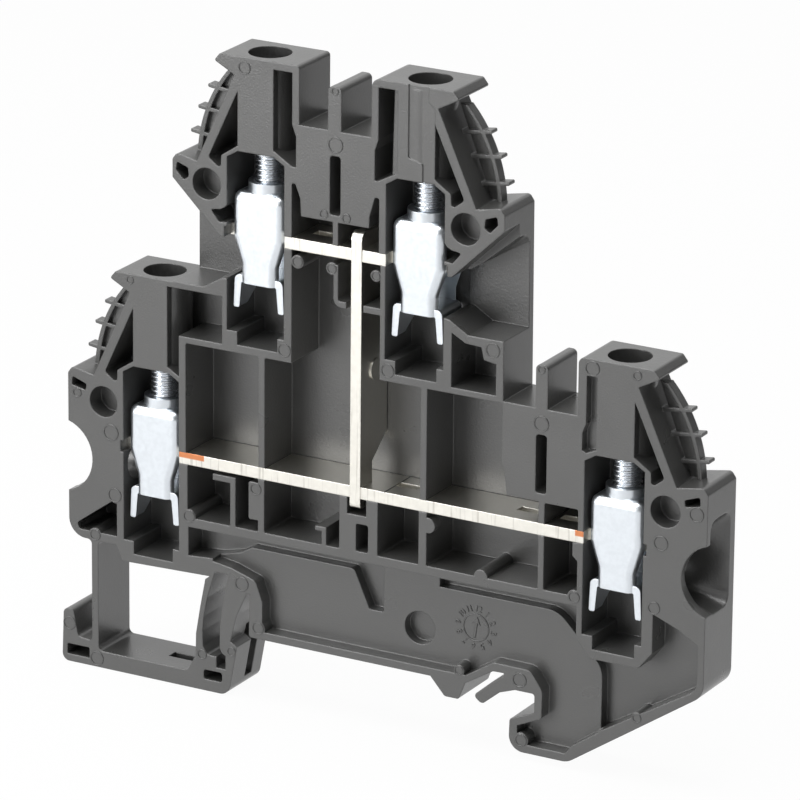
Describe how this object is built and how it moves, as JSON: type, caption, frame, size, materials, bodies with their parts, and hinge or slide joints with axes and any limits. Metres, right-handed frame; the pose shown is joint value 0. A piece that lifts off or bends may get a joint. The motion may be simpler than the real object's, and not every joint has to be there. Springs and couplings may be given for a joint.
{
  "type": "double-level rail terminal block",
  "caption": "Double-level feed-through terminal block for a 35 mm rail, with screw clamps at both ends of each level and an upright link joining the two levels.",
  "frame": {"origin": "centre of the 35 mm rail's top face, half way through the block's thickness", "axes": "+X along the block towards the fixed rail hook, +Y from the open side to the closed side, +Z away from the rail"},
  "size_m": [0.0738, 0.006, 0.0679],
  "materials": {
    "housing_plastic": "satin, lightly textured moulded polyamide",
    "tinned_copper": "tin-plated copper, satin with sheared edges",
    "zinc_yoke": "zinc-plated stamped steel, satin",
    "zinc_screw": "zinc-plated steel, bright"
  },
  "bodies": {
    "block": {"housing": "housing_plastic", "upper_bus_bar": "tinned_copper", "lower_bus_bar": "tinned_copper", "link_strip": "tinned_copper"},
    "screw_upper_left": {"clamp_screw_upper_left": "zinc_screw"},
    "yoke_upper_left": {"clamp_yoke_upper_left": "zinc_yoke"},
    "screw_upper_right": {"clamp_screw_upper_right": "zinc_screw"},
    "yoke_upper_right": {"clamp_yoke_upper_right": "zinc_yoke"},
    "screw_lower_left": {"clamp_screw_lower_left": "zinc_screw"},
    "yoke_lower_left": {"clamp_yoke_lower_left": "zinc_yoke"},
    "screw_lower_right": {"clamp_screw_lower_right": "zinc_screw"},
    "yoke_lower_right": {"clamp_yoke_lower_right": "zinc_yoke"}
  },
  "joints": [
    {"name": "turn_screw_upper_left", "type": "hinge", "parent": "block", "child": "screw_upper_left", "pos_m": [-0.01507, -0.0002, 0.0536], "axis": [0, 0, -1], "range_deg": [0, 2304.5]},
    {"name": "lift_yoke_upper_left", "type": "slide", "parent": "block", "child": "yoke_upper_left", "axis": [0, 0, 1], "range_m": [0, 0.0032]},
    {"name": "turn_screw_upper_right", "type": "hinge", "parent": "block", "child": "screw_upper_right", "pos_m": [0.00305, -0.0002, 0.0536], "axis": [0, 0, -1], "range_deg": [0, 2304.5]},
    {"name": "lift_yoke_upper_right", "type": "slide", "parent": "block", "child": "yoke_upper_right", "axis": [0, 0, 1], "range_m": [0, 0.0032]},
    {"name": "turn_screw_lower_left", "type": "hinge", "parent": "block", "child": "screw_lower_left", "pos_m": [-0.0273, -0.0002, 0.02895], "axis": [0, 0, -1], "range_deg": [0, 2304.5]},
    {"name": "lift_yoke_lower_left", "type": "slide", "parent": "block", "child": "yoke_lower_left", "axis": [0, 0, 1], "range_m": [0, 0.0032]},
    {"name": "turn_screw_lower_right", "type": "hinge", "parent": "block", "child": "screw_lower_right", "pos_m": [0.0255, -0.0002, 0.02895], "axis": [0, 0, -1], "range_deg": [0, 2304.5]},
    {"name": "lift_yoke_lower_right", "type": "slide", "parent": "block", "child": "yoke_lower_right", "axis": [0, 0, 1], "range_m": [0, 0.0032]}
  ],
  "couplings": [
    {"joint": "turn_screw_upper_left", "follows": "lift_yoke_upper_left", "rad_per_m": 12566},
    {"joint": "turn_screw_upper_right", "follows": "lift_yoke_upper_right", "rad_per_m": 12566},
    {"joint": "turn_screw_lower_left", "follows": "lift_yoke_lower_left", "rad_per_m": 12566},
    {"joint": "turn_screw_lower_right", "follows": "lift_yoke_lower_right", "rad_per_m": 12566}
  ]
}
